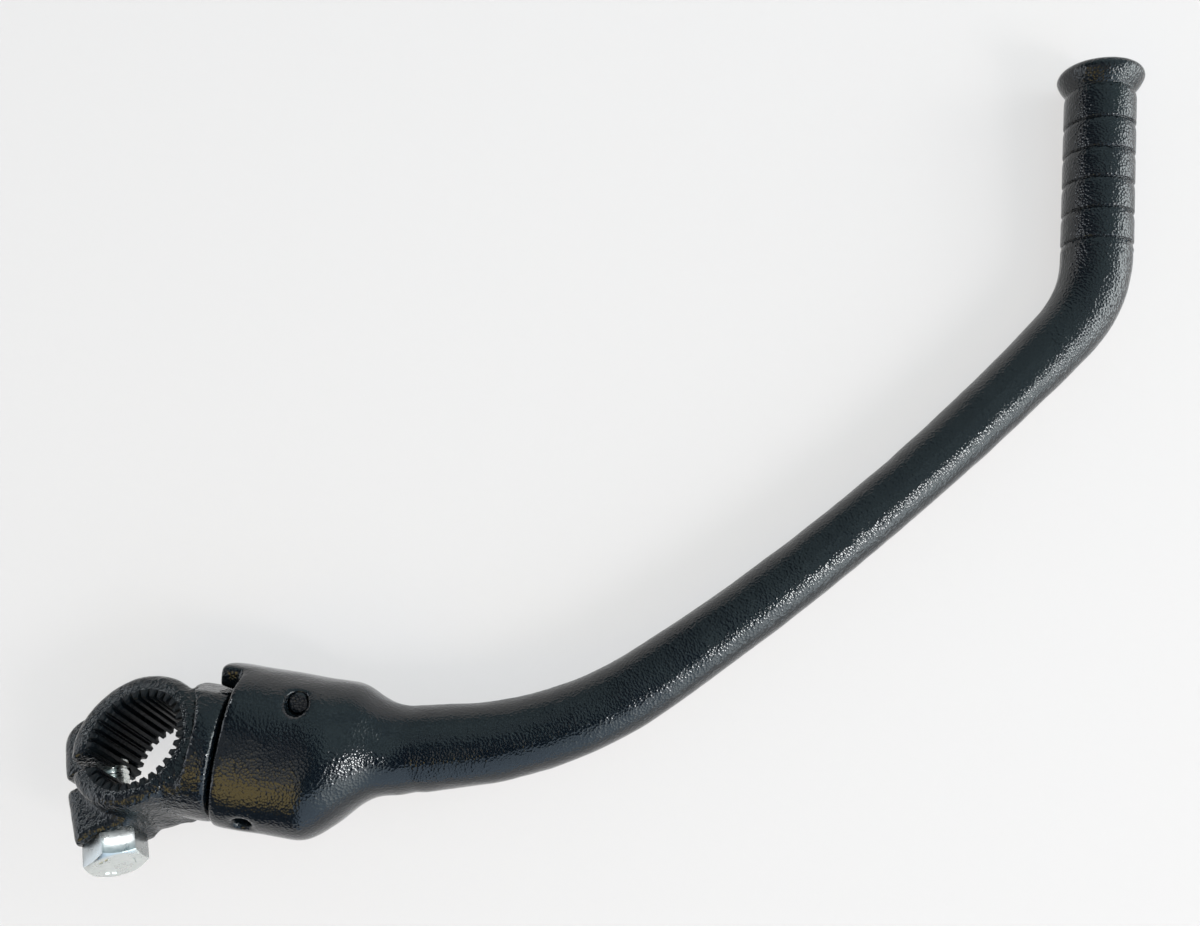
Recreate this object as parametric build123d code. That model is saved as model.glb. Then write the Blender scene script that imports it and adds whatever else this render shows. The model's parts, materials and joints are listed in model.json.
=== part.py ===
from build123d import *
import math
import os

# Folding kick start lever, in millimetres. The origin is the middle of the splined bore.
# +X runs along the swivel axis from hub to arm, +Z is the inboard side, and the arm bends in the XY plane.

# Splined bore and clamp ring
tooth_count = 32
crest_radius = 10.0
tooth_depth = 1.35
crest_share = 0.42
root_share = 0.16
ring_wall = 3.6
ring_length = 19.7
ring_edge = 2.4
ring_swell = 0.9
ring_swell_turn = 125.0
shaft_room = 1.2

# How the bore stands to the swivel axis
bore_lean = 17.8
bore_tuck = 27.7
clamp_turn = 27.2

# Pinch bolt and the lugs it closes
bolt_radius = 4.0
bolt_length = 28.0
bolt_tip = 1.0
hex_across_flats = 12.0
hex_height = 5.5
hex_turn = 36.0
hex_chamfer = 30.0
hex_face_share = 0.96
bolt_bore_gap = 0.1
bolt_setback = 4.5
bolt_hole_gap = 0.4
thread_gap = 0.06
seat_drop = 14.7
spot_face_depth = 0.7
spot_face_radius = 7.1
lug_outer_margin = 7.6
lug_inner_margin = 6.2
lug_top = 16.0
lug_top_round = 6.0
lug_draft = 1.6
lug_front = 3.3
lug_edge = 2.2
lug_skirt = 7.0
slit_width = 3.2

# Neck, flange and swivel stub
swivel_rise = 4.3
joint_x = 17.2
joint_gap = 0.5
neck_radius = 11.6
neck_root_radius = 9.5
collar_lip = 1.7
flange_wall = 4.2
flange_thickness = 10.6
flange_edge = 1.4
flange_back_edge = 1.8
web_low = 14.2
web_front = 1.2
web_back = 8.0
stub_radius = 12.8
stub_length = 22.6
stub_chamfer = 1.0
swivel_clearance = 0.07
stub_end_gap = 0.8

# Fold stop
swing = 90.0 + bore_tuck
tab_half_angle = 17.0
tab_reach = 4.9
tab_floor = 1.4
tab_edge = 1.2
stop_gap_angle = 0.6
tab_gap = 0.45
tab_rest_gap = 0.06

# Arm head
head_wall_high = 5.6
head_wall_side = 3.8
head_rise = 1.0
head_squareness = 2.5
head_edge = 1.0
outline_points = 16
shoulder_x = 36.0
shoulder_length = 25.0
shoulder_steps = 8
low_rise_start = 1.0
low_rise_end = 16.0
top_fall_start = 9.5

# Shank and foot peg, along the arm's centre line
shank_rise = 0.6
shank_angle = 14.05
shank_straight = 36.25
elbow_radius = 90.1
elbow_angle = 28.25
bow_radius = 609.0
bow_angle = 12.5
bend_radius = 31.3
bend_angle = 40.9
shank_root_radius = 10.0
shank_tip_radius = 7.85
groove_pitch = 7.5
groove_count = 5
groove_lead = 2.4
groove_radius = 7.85
band_radius = 8.35
band_taper = 2.2
last_band = 8.5
flare_radius = 10.1
flare_length = 6.0
flare_round = 2.2
flare_slope = 1.2
peg_core = 3.0

# Retaining pin
pin_radius = 2.5
pin_x = 32.6
pin_clearance = 0.02
pin_sink = 0.4
pin_chamfer = 0.5
pin_groove_depth = 1.4
pin_groove_gap = 0.15

# Detent
ball_radius = 3.0
ball_proud = 0.8
ball_gap = 0.1
ball_track_gap = 0.15
detent_x = 25.3
detent_angle = 141.0
detent_hole_radius = 2.1
pocket_bottom = 2.5
spring_wire = 0.35
spring_radius = 2.1
spring_turns = 3.0
spring_gap = 0.05

# Frames for the hub's clamp and for the swivel
root_radius = crest_radius + tooth_depth
ring_radius = root_radius + ring_wall + ring_swell
lean = math.radians(bore_lean)
tuck = math.radians(bore_tuck)
bore_axis = Vector(-math.sin(lean), math.cos(lean) * math.sin(tuck), math.cos(lean) * math.cos(tuck))
arm_side = (Vector(1, 0, 0) - bore_axis * bore_axis.X).normalized()
clamp_side = arm_side.rotate(Axis((0, 0, 0), bore_axis), clamp_turn)
clamp_plane = Plane((0, 0, 0), x_dir=clamp_side, z_dir=bore_axis)
swivel_plane = Plane((0, swivel_rise, 0), x_dir=(0, 1, 0), z_dir=(1, 0, 0))
swell_turn = math.radians(ring_swell_turn)
ring_middle = Pos(ring_swell * math.cos(swell_turn), ring_swell * math.sin(swell_turn), 0)
from_low = (Align.CENTER, Align.CENTER, Align.MIN)

bolt_offset = crest_radius + bolt_radius + bolt_bore_gap
bolt_plane = Plane((-bolt_offset, -seat_drop, -bolt_setback), x_dir=(1, 0, 0), z_dir=(0, 1, 0))
flange_radius = stub_radius + flange_wall
tab_inner_radius = stub_radius + tab_floor
head_half_height = stub_radius + head_wall_high
head_half_thickness = stub_radius + head_wall_side
relief_radius = tab_inner_radius - tab_gap
flat_height = tab_inner_radius * math.cos(math.radians(tab_half_angle)) - tab_rest_gap
head_front = joint_x + joint_gap
shoulder_share = shoulder_length / shank_straight
ball_height = stub_radius + ball_proud - ball_radius
pin_offset = stub_radius - pin_groove_depth + pin_radius + pin_groove_gap
pin_spot = Pos(pin_offset, 0, pin_x) * Rot(90, 0, 0)
far = 4 * ring_radius


def swivel_rod(radius, start, end):
    """A round bar on the swivel axis between two places along X."""
    return Pos(0, 0, start) * Cylinder(radius, end - start, align=from_low)


def swivel_sector(inner, outer, start, end, angle, sweep):
    """A slice of a ring about the swivel axis, from the angle given, counted from +Y towards +Z."""
    middle = ((inner + outer) / 2, (start + end) / 2)
    profile = Plane.XZ * Pos(*middle) * Rectangle(outer - inner, end - start)
    return Rot(0, 0, angle) * revolve(profile, Axis.Z, sweep)


def splined_bore():
    """The bore's cutter: tapered spaces between teeth through the ring, and plain room behind it."""
    pitch = 2 * math.pi / tooth_count
    mouth = pitch * (1 - crest_share) / 2
    floor = pitch * root_share / 2
    inner = crest_radius - tooth_depth
    corners = [(inner, -mouth), (crest_radius, -mouth), (root_radius, -floor)]
    corners += [(r, -turn) for r, turn in reversed(corners)]
    space = Polygon(*[(r * math.cos(turn), r * math.sin(turn)) for r, turn in corners], align=None)
    outline = Circle(crest_radius) + [place * space for place in PolarLocations(0, tooth_count)]
    teeth = extrude(outline, ring_length / 2, both=True)
    behind = Pos(0, 0, -ring_length / 2 - far) * Cylinder(root_radius + shaft_room, far, align=from_low)
    return teeth + behind


def make_lugs():
    """Both lugs as one block behind the collar, before the slit divides it."""
    reach = bolt_offset + lug_outer_margin
    low = seat_drop + spot_face_depth
    outline = Polygon(
        (-reach, lug_top),
        (-bolt_offset, lug_top),
        (0, ring_radius),
        (0, -crest_radius),
        (lug_inner_margin - bolt_offset, -low),
        (lug_draft - reach, -low),
        (-reach, 0),
        align=None,
    )
    corner = outline.vertices().sort_by_distance((-reach, lug_top, 0))[0]
    outline = fillet(corner, lug_top_round)
    block = Pos(0, 0, -ring_length / 2) * extrude(outline, ring_length / 2 + lug_front, (0, 0, 1))
    outer_edges = block.faces().sort_by(Axis.Z)[-1].edges().filter_by(lambda e: e.center().X < -crest_radius)
    block = fillet(outer_edges, lug_edge)
    rise = ring_length / 2 - ring_edge - lug_front
    skirt = Pos(0, 0, lug_front) * Cone(ring_radius + lug_skirt, ring_radius, rise, align=from_low)
    low_corner = (Align.MIN, Align.MIN, Align.CENTER)
    over_upper = Pos(-reach, 0, 0) * Box(reach, lug_top, ring_length, align=low_corner)
    return block + (ring_middle * skirt & over_upper & extrude(outline, ring_length / 2))


def make_flange():
    """The disc that the head turns against: flat on top, cut back where the head's tab travels."""
    disc = swivel_rod(flange_radius, joint_x - flange_thickness, joint_x)
    rims = disc.edges().filter_by(GeomType.CIRCLE).sort_by(Axis.Z)
    disc = fillet(rims[-1], flange_edge)
    rims = disc.edges().filter_by(GeomType.CIRCLE).sort_by(Axis.Z)
    disc = fillet(rims[0], flange_back_edge)
    stop = tab_half_angle + stop_gap_angle
    back = joint_x - flange_thickness
    relief = swivel_sector(relief_radius, 2 * flange_radius, back, joint_x, -swing - stop, swing + stop)
    corner = (Align.MIN, Align.MIN, Align.MAX)
    flat = Pos(flat_height, 0, joint_x) * Box(flange_radius, flange_radius, flange_thickness, align=corner)
    return disc - relief - flat


def make_stub():
    """The pivot inside the head, with the ring groove for the pin and the cross hole for the detent."""
    end = joint_x + stub_length
    stub = swivel_rod(stub_radius, joint_x - flange_thickness / 2, end)
    stub = chamfer(stub.edges().filter_by(GeomType.CIRCLE).sort_by(Axis.Z)[-1], stub_chamfer)
    half_groove = pin_radius + pin_groove_gap
    groove = swivel_sector(stub_radius - pin_groove_depth, 2 * stub_radius, pin_x - half_groove,
                           pin_x + half_groove, 0, 360)
    pocket = Pos(0, 0, pocket_bottom) * Cylinder(ball_radius + ball_gap, stub_radius, align=from_low)
    return stub - groove - detent_frame(detent_angle) * pocket


def detent_frame(angle):
    """A frame on the swivel axis at the ball, looking out along the angle given."""
    turn = math.radians(angle)
    return Plane((0, 0, detent_x), x_dir=(0, 0, 1), z_dir=(math.cos(turn), math.sin(turn), 0))


def make_hub():
    """Forged boss: clamp ring with its lugs, neck, web, flange and stub in one piece."""
    ring = Cylinder(ring_radius, ring_length)
    ring = fillet(ring.edges().filter_by(GeomType.CIRCLE), ring_edge)
    clamp = ring_middle * ring + make_lugs()

    mouth = ring_length / 2 - collar_lip
    over_ring = Pos(0, 0, mouth) * Cylinder(ring_radius + collar_lip, far, align=from_low)
    over_collar = clamp_plane * ring_middle * over_ring
    neck_end = joint_x - flange_thickness / 2
    neck = loft([Circle(neck_root_radius), Pos(0, 0, neck_end) * Circle(neck_radius)])
    neck = swivel_plane * neck - over_collar
    web_outline = Polygon(
        (-ring_radius / 2, -ring_radius / 2),
        (-ring_radius / 4, -web_low),
        (neck_end, -web_low),
        (neck_end, 0),
        align=None,
    )
    web = Pos(0, 0, -web_back) * extrude(web_outline, web_back + web_front)
    flange = swivel_plane * make_flange() - over_collar
    body = clamp_plane * clamp + neck + web + flange + swivel_plane * make_stub()

    low_hole = bolt_plane * Cylinder(bolt_radius + bolt_hole_gap, 2 * seat_drop)
    screw_hole = bolt_plane * Pos(0, 0, seat_drop) * Cylinder(bolt_radius + thread_gap, far, align=from_low)
    spot_face = bolt_plane * Rot(180, 0, 0) * Cylinder(spot_face_radius, far, align=from_low)
    slit = Pos(-far / 2, 0, 0) * Box(far, slit_width, far)
    return body - clamp_plane * (splined_bore() + slit) - clamp_plane * (low_hole + screw_hole + spot_face)


def make_bolt():
    """Hexagon bolt: chamfered head below its seat, plain bar at the thread's outside size."""
    hexagon = RegularPolygon(hex_across_flats / 2, 6, major_radius=False, rotation=hex_turn)
    head = extrude(hexagon, -hex_height)
    corner = hex_across_flats / 2 / math.cos(math.pi / 6)
    drop = (corner - hex_across_flats / 2 * hex_face_share) * math.tan(math.radians(hex_chamfer))
    face = Cylinder(corner, hex_height, align=(Align.CENTER, Align.CENTER, Align.MAX))
    face_rim = face.edges().filter_by(GeomType.CIRCLE).sort_by(Axis.Z)[0]
    face = chamfer(face_rim, drop, drop / math.tan(math.radians(hex_chamfer)))
    shank = Cylinder(bolt_radius, bolt_length, align=from_low)
    shank = chamfer(shank.edges().filter_by(GeomType.CIRCLE).sort_by(Axis.Z)[-1], bolt_tip)
    return clamp_plane * (bolt_plane * ((head & face) + shank))


def head_section(half_height, half_thickness, squareness):
    """A rounded outline between an ellipse and a rectangle, as one closed curve."""
    points = []
    for step in range(outline_points):
        turn = step * 2 * math.pi / outline_points
        across, up = math.cos(turn), math.sin(turn)
        x = math.copysign(abs(across) ** (2 / squareness), across) * half_height
        y = math.copysign(abs(up) ** (2 / squareness), up) * half_thickness
        points.append((x, y))
    return make_face(Spline(*points, periodic=True))


def ease(along, start, end):
    """A smooth step from 0 to 1 between two places."""
    share = min(max((along - start) / (end - start), 0), 1)
    return share * share * (3 - 2 * share)


def blend(first, last, share):
    """The value a share of the way from the first to the last."""
    return first + (last - first) * share


def section_plane(place, tangent):
    """A frame across the arm's centre line, with its own x in the plane of the bend."""
    return Plane(place, x_dir=(-tangent.Y, tangent.X, 0), z_dir=tangent)


def arm_line():
    """The arm's centre line: a straight from the head, an elbow, a slow bow and the bend into the peg."""
    turn = math.radians(shank_angle)
    start = Vector(shoulder_x, swivel_rise + shank_rise, 0)
    straight = Line(start, start + Vector(math.cos(turn), math.sin(turn), 0) * shank_straight)
    elbow = JernArc(straight @ 1, straight % 1, elbow_radius, elbow_angle)
    bow = JernArc(elbow @ 1, elbow % 1, bow_radius, bow_angle)
    bend = JernArc(bow @ 1, bow % 1, bend_radius, bend_angle)
    return straight, elbow, bow, bend


def make_head(straight):
    """Straight head with a rounded front rim, then a smooth shoulder down to the shank's round."""
    section = head_section(head_half_height, head_half_thickness, head_squareness)
    block = Pos(head_rise, 0, head_front) * extrude(section, shoulder_x - head_front)
    block = fillet(block.faces().sort_by(Axis.Z)[0].edges(), head_edge)
    sections = []
    for step in range(shoulder_steps):
        along = shoulder_length * step / shoulder_steps
        middle = ease(along, 0, shoulder_length)
        lift = shank_rise - head_rise + along * math.sin(math.radians(shank_angle))
        top = blend(head_half_height - lift, shank_root_radius, ease(along, top_fall_start, shoulder_length))
        low = blend(head_half_height + lift, shank_root_radius, ease(along, low_rise_start, low_rise_end))
        half_thickness = blend(head_half_thickness, shank_root_radius, middle)
        turn = math.radians(shank_angle * middle)
        place = section_plane(straight @ (along / shank_straight), Vector(math.cos(turn), math.sin(turn), 0))
        outline = head_section((top + low) / 2, half_thickness, blend(head_squareness, 2, middle))
        sections.append(place * Pos((top - low) / 2, 0) * outline)
    sections.append(section_plane(straight @ shoulder_share, straight % 1) * Circle(shank_root_radius))
    return swivel_plane * block + loft(sections)


def make_shank(straight, elbow, bow, bend):
    """Tapered round bar along the arm's centre line, from the shoulder to the peg."""
    run = Line(straight @ shoulder_share, straight @ 1)
    places = [(run, 0, shank_root_radius), (bow, 1, shank_tip_radius), (bend, 1, band_radius)]
    rounds = [section_plane(edge @ share, edge % share) * Circle(radius) for edge, share, radius in places]
    return sweep(rounds, Wire([run, elbow, bow, bend]), multisection=True)


def make_peg():
    """Foot peg: bands that each draw in towards the tip and step out again, then a flared round end."""
    lines = [Line((0, -peg_core), (groove_radius - peg_core, -peg_core))]
    lines.append(Line(lines[-1] @ 1, (groove_radius - peg_core, 0)))
    lines.append(Line(lines[-1] @ 1, (band_radius, 0)))
    height = 0
    for band in [groove_lead] + [groove_pitch] * (groove_count - 1) + [last_band]:
        lines.append(Line((band_radius, height), (band_radius, height + band - band_taper)))
        height += band
        lines.append(Line(lines[-1] @ 1, (groove_radius, height)))
        lines.append(Line(lines[-1] @ 1, (band_radius, height)))
    lines.pop()
    top = height + flare_length
    rise = flare_length - flare_round
    lines.append(Spline(lines[-1] @ 1, (flare_radius, height + rise), tangents=[(1, flare_slope), (0, 1)]))
    lines.append(JernArc(lines[-1] @ 1, (0, 1), flare_round, 90))
    lines.append(Line(lines[-1] @ 1, (0, top)))
    lines.append(Line(lines[-1] @ 1, lines[0] @ 0))
    return revolve(Plane.XZ * make_face(lines), Axis.Z)


def pin_reach():
    """Half the pin's length: each end stays under the head's face all round."""
    outside = (pin_offset + pin_radius - head_rise) / head_half_height
    surface = head_half_thickness * (1 - outside ** head_squareness) ** (1 / head_squareness)
    return surface - pin_sink


def make_tab():
    """The stop that stands out from the head's rim over the flange, rounded on its crown."""
    start = joint_x - tab_reach
    end = head_front + 2 * head_edge
    outline = head_section(head_half_height, head_half_thickness, head_squareness)
    prism = Pos(head_rise, 0, start) * extrude(outline, end - start)
    outer = 2 * flange_radius
    tab = prism & swivel_sector(tab_inner_radius, outer, start, end, -tab_half_angle, 2 * tab_half_angle)
    crown = tab.faces().sort_by(Axis.Z)[0].edges().sort_by(Axis.X)[-1]
    return fillet(crown, tab_edge)


def make_arm():
    """One forging: head, stop tab, shank and peg, with the swivel bore and its cross holes."""
    edges = arm_line()
    bend = edges[-1]
    arm = make_head(edges[0]) + make_shank(*edges) + section_plane(bend @ 1, bend % 1) * make_peg()
    arm += swivel_plane * make_tab()

    stub_end = joint_x + stub_length + stub_end_gap
    bore = swivel_rod(stub_radius + swivel_clearance, joint_x, stub_end)
    track = Pos(0, 0, detent_x) * Torus(ball_height, ball_radius + ball_track_gap)
    cross = [detent_frame(detent_angle), detent_frame(detent_angle + swing)]
    drill = Pos(0, 0, ball_height) * Cylinder(detent_hole_radius, far, align=from_low)
    holes = [place * drill for place in cross]
    pin_hole = pin_spot * Cylinder(pin_radius + pin_clearance, far)
    cutters = bore + track + holes + pin_hole
    return arm - swivel_plane * cutters


def make_pin():
    """Plain dowel beside the stub, in its ring groove."""
    dowel = Cylinder(pin_radius, 2 * pin_reach())
    dowel = chamfer(dowel.edges().filter_by(GeomType.CIRCLE), pin_chamfer)
    return swivel_plane * (pin_spot * dowel)


def make_ball():
    """Detent ball, standing proud of the stub."""
    return swivel_plane * (detent_frame(detent_angle) * Pos(0, 0, ball_height) * Sphere(ball_radius))


def make_spring():
    """Coil spring between the pocket's floor and the ball."""
    low = pocket_bottom + spring_wire + spring_gap
    reach = ball_radius + spring_wire + spring_gap
    high = ball_height - math.sqrt(reach ** 2 - spring_radius ** 2)
    height = high - low
    coil = Helix(height / spring_turns, height, spring_radius)
    wire = Plane(coil @ 0, z_dir=coil % 0) * Circle(spring_wire)
    return swivel_plane * (detent_frame(detent_angle) * Pos(0, 0, low) * sweep(wire, coil, is_frenet=True))


nodes = {
    "hub": make_hub(),
    "arm": make_arm(),
    "pinch_bolt": make_bolt(),
    "retaining_pin": make_pin(),
    "detent_ball": make_ball(),
    "detent_spring": make_spring(),
}

os.makedirs("parts", exist_ok=True)
for name, solid in nodes.items():
    export_step(solid, f"parts/{name}.step")
    print(name, len(solid.solids()), round(solid.volume), solid.bounding_box().size)
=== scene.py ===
import bmesh
import bpy
import json
import math
import numpy as np
from mathutils import Matrix, Vector, noise


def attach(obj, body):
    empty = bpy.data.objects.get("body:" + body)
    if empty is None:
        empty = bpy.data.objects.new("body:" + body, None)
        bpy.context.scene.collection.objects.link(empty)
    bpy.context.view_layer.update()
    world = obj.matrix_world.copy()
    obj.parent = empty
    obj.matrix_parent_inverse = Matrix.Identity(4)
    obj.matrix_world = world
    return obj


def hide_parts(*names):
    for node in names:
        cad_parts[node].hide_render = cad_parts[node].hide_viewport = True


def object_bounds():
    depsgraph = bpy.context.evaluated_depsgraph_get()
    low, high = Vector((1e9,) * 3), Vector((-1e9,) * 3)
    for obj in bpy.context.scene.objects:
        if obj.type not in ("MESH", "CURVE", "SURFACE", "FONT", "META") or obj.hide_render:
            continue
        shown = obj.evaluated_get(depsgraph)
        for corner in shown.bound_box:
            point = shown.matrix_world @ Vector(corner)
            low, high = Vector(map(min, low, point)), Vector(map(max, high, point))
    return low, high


mm = 0.001  # sizes are in millimetres times this; floor, tent and lamps are in metres
tiny = 0.001 * mm  # keeps a division off zero

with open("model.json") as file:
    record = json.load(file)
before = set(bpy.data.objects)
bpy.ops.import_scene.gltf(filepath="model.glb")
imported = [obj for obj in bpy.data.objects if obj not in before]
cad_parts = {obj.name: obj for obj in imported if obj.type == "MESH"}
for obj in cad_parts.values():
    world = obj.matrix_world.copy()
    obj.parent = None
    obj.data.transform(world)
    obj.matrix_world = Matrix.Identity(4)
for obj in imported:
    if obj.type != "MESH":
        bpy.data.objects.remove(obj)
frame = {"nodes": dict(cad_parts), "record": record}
nodes = frame["nodes"]
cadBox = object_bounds()
print("frame:", sorted(nodes))

# how the clamp and its bolt stand, in degrees and millimetres, on top of what the record says
clampPlace = {"turn": 27.2, "boltOffset": 14.1, "boltDrop": 14.7, "boltSetback": 4.5, "slitWidth": 3.2}


def axesMatrix(x, y, z, origin):
    turn = Matrix((x, y, z)).transposed().to_4x4()
    return Matrix.Translation(origin) @ turn


# frames that several pieces share: the clamp's z is the bore, the bolt's z is the bolt
def readPlaces(record):
    clamp = record["mounts"][0]
    fold = record["behaviour"]["joints"][0]
    bore = Vector(clamp["axis"]).normalized()
    armSide = (Vector((1, 0, 0)) - bore * bore.x).normalized()
    side = Matrix.Rotation(math.radians(clampPlace["turn"]), 3, bore) @ armSide
    across = bore.cross(side)
    boltSpot = -side * clampPlace["boltOffset"] - across * clampPlace["boltDrop"]
    boltSpot -= bore * clampPlace["boltSetback"]
    return {
        "clamp": axesMatrix(side, across, bore, Vector()),
        "bolt": axesMatrix(side, -bore, across, boltSpot * mm),
        "foldPoint": Vector(fold["pos_m"]),
    }


places = readPlaces(frame["record"])


# materials
def newMaterial(name):
    material = bpy.data.materials.new(name)
    material.use_nodes = True
    tree = material.node_tree
    shader = tree.nodes["Principled BSDF"]
    return material, tree, shader


def mathNode(tree, operation, *sources):
    node = tree.nodes.new("ShaderNodeMath")
    node.operation = operation
    for source, socket in zip(sources, node.inputs):
        tree.links.new(source, socket)
    return node.outputs["Value"]


def vectorNode(tree, operation, *sources):
    node = tree.nodes.new("ShaderNodeVectorMath")
    node.operation = operation
    for source, socket in zip(sources, node.inputs):
        if isinstance(source, tuple):
            socket.default_value = source
        else:
            tree.links.new(source, socket)
    return node.outputs["Vector"]


def noiseNode(tree, scale, detail, roughness=0.5):
    where = tree.nodes.new("ShaderNodeTexCoord")
    cloud = tree.nodes.new("ShaderNodeTexNoise")
    for name, value in (("Scale", scale), ("Detail", detail), ("Roughness", roughness)):
        cloud.inputs[name].default_value = value
    tree.links.new(where.outputs["Object"], cloud.inputs["Vector"])
    return cloud.outputs["Fac"]


# round dimples side by side, from 0 in their middles
def dimpleNode(tree, scale):
    where = tree.nodes.new("ShaderNodeTexCoord")
    cells = tree.nodes.new("ShaderNodeTexVoronoi")
    cells.inputs["Scale"].default_value = scale
    tree.links.new(where.outputs["Object"], cells.inputs["Vector"])
    return mathNode(tree, "MULTIPLY", cells.outputs["Distance"], cells.outputs["Distance"])


def rampNode(tree, factor, stops):
    ramp = tree.nodes.new("ShaderNodeValToRGB")
    points = ramp.color_ramp.elements
    for place, _ in stops[1:-1]:
        points.new(place)
    for point, (place, colour) in zip(points, stops):
        point.position = place
        point.color = (*colour, 1)
    tree.links.new(factor, ramp.inputs["Fac"])
    return ramp.outputs["Color"]


cloudSpan = (0.3, 0.7)  # most of a noise cloud lies between these


def rangeNode(tree, factor, low, high, start=cloudSpan[0], end=cloudSpan[1]):
    spread = tree.nodes.new("ShaderNodeMapRange")
    for name, value in (("From Min", start), ("From Max", end), ("To Min", low), ("To Max", high)):
        spread.inputs[name].default_value = value
    tree.links.new(factor, spread.inputs["Value"])
    return spread.outputs["Result"]


def bumpNode(tree, height, distance, strength, before=None):
    bump = tree.nodes.new("ShaderNodeBump")
    bump.inputs["Distance"].default_value = distance
    bump.inputs["Strength"].default_value = strength
    tree.links.new(height, bump.inputs["Height"])
    if before:
        tree.links.new(before, bump.inputs["Normal"])
    return bump.outputs["Normal"]


# colour and roughness wander between two values with a cloud
def wander(tree, shader, cloud, colours, roughness):
    shade = rampNode(tree, cloud, list(zip(cloudSpan, colours)))
    tree.links.new(shade, shader.inputs["Base Color"])
    tree.links.new(rangeNode(tree, cloud, *roughness), shader.inputs["Roughness"])


# thick black gloss paint over a rough forging; scales are grains per metre
paint = {
    "colours": ((0.0026, 0.0042, 0.0062), (0.0044, 0.0066, 0.0080)),
    "roughness": (0.08, 0.14),
    "cloudScale": 90,
    "ior": 1.5,
    "peelScale": 1700,
    "peelDepth": 0.06 * mm,
    "hubShare": 1.8,  # of that depth, on the hub's ring and lugs
    "hubFrom": 11 * mm,
    "hubTo": 19 * mm,
    "lumpScale": 850,  # coarser lumps, on the hub alone
    "lumpDepth": 0.16 * mm,
    "shankShare": 1.45,  # and along the shank and the peg
    "shankFrom": 75 * mm,
    "shankTo": 110 * mm,
    "pegShare": 1.6,  # and again on the peg
    "pegFrom": 188 * mm,
    "pegTo": 200 * mm,
    "waveScale": 210,  # hammered unevenness of the forging
    "waveDepth": 0.5 * mm,
    "waveStrength": 0.16,
}


def reachNode(tree):
    where = tree.nodes.new("ShaderNodeTexCoord")
    parts = tree.nodes.new("ShaderNodeSeparateXYZ")
    tree.links.new(where.outputs["Object"], parts.inputs["Vector"])
    return parts.outputs["X"]


def hubOnly(tree, height):
    share = rangeNode(tree, reachNode(tree), 1.0, 0.0, paint["hubFrom"], paint["hubTo"])
    return mathNode(tree, "MULTIPLY", height, share)


def peelFade(tree, height):
    reach = reachNode(tree)
    onHub = rangeNode(tree, reach, paint["hubShare"], 1.0, paint["hubFrom"], paint["hubTo"])
    onShank = rangeNode(tree, reach, 1.0, paint["shankShare"], paint["shankFrom"], paint["shankTo"])
    onPeg = rangeNode(tree, reach, 1.0, paint["pegShare"], paint["pegFrom"], paint["pegTo"])
    for share in (onHub, onShank, onPeg):
        height = mathNode(tree, "MULTIPLY", height, share)
    return height


def makePaint(name):
    material, tree, shader = newMaterial(name)
    wander(tree, shader, noiseNode(tree, paint["cloudScale"], 4), paint["colours"], paint["roughness"])
    wave = noiseNode(tree, paint["waveScale"], 2)
    grain = peelFade(tree, dimpleNode(tree, paint["peelScale"]))
    lumps = hubOnly(tree, dimpleNode(tree, paint["lumpScale"]))
    normal = bumpNode(tree, wave, paint["waveDepth"], paint["waveStrength"])
    normal = bumpNode(tree, grain, paint["peelDepth"], 1.0, normal)
    normal = bumpNode(tree, lumps, paint["lumpDepth"], 1.0, normal)
    tree.links.new(normal, shader.inputs["Normal"])
    shader.inputs["IOR"].default_value = paint["ior"]
    return material


# the thinner, duller paint down the bore
thinPaint = {
    "roughness": (0.30, 0.45),
    "cloudScale": 160,
    "gloss": 0.15,
    "peelScale": 1100,
    "peelDepth": 0.1 * mm,
    "peelStrength": 0.6,
}


def makeBorePaint(name):
    material, tree, shader = newMaterial(name)
    cloud = noiseNode(tree, thinPaint["cloudScale"], 4)
    wander(tree, shader, cloud, paint["colours"], thinPaint["roughness"])
    grain = dimpleNode(tree, thinPaint["peelScale"])
    normal = bumpNode(tree, grain, thinPaint["peelDepth"], thinPaint["peelStrength"])
    tree.links.new(normal, shader.inputs["Normal"])
    shader.inputs["Specular IOR Level"].default_value = thinPaint["gloss"]
    return material


# bright zinc plate
zinc = {
    "colours": ((0.60, 0.63, 0.61), (0.76, 0.78, 0.76)),
    "flatShadeColours": ((0.34, 0.36, 0.36), (0.48, 0.50, 0.50)),  # the wrench flats get a darker zinc than the face: painted shade for the dimmer reflections that the flats show
    "roughness": (0.22, 0.38),
    "cloudScale": 420,
    "cloudRoughness": 0.6,
    "grainScale": 1500,
    "grainDepth": 0.04 * mm,
    "grainStrength": 0.5,
}


def makeZinc(name, colours):
    material, tree, shader = newMaterial(name)
    cloud = noiseNode(tree, zinc["cloudScale"], 5, zinc["cloudRoughness"])
    wander(tree, shader, cloud, colours, zinc["roughness"])
    grain = noiseNode(tree, zinc["grainScale"], 3)
    normal = bumpNode(tree, grain, zinc["grainDepth"], zinc["grainStrength"])
    tree.links.new(normal, shader.inputs["Normal"])
    shader.inputs["Metallic"].default_value = 1.0
    return material


# bare steel inside the swivel
steel = {"colours": ((0.36, 0.36, 0.37), (0.55, 0.55, 0.56)), "roughness": (0.2, 0.36), "cloudScale": 700}


def makeSteel(name):
    material, tree, shader = newMaterial(name)
    wander(tree, shader, noiseNode(tree, steel["cloudScale"], 4), steel["colours"], steel["roughness"])
    shader.inputs["Metallic"].default_value = 1.0
    return material


def dress(piece, material):
    piece.data.materials.clear()
    piece.data.materials.append(material)


blackPaint = makePaint("black_paint")
borePaint = makeBorePaint("bore_paint")
zincPlate = makeZinc("zinc_plate", zinc["colours"])
# the second zinc is a darker copy of the plate, painted shade for the wrench flats
zincFlatsPaintedShade = makeZinc("zinc_flats_painted_shade", zinc["flatShadeColours"])
bareSteel = makeSteel("bare_steel")
smallPieces = {"retaining_pin": blackPaint, "detent_ball": bareSteel, "detent_spring": bareSteel}
for name, material in smallPieces.items():
    dress(nodes[name], material)
print("materials made")


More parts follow.
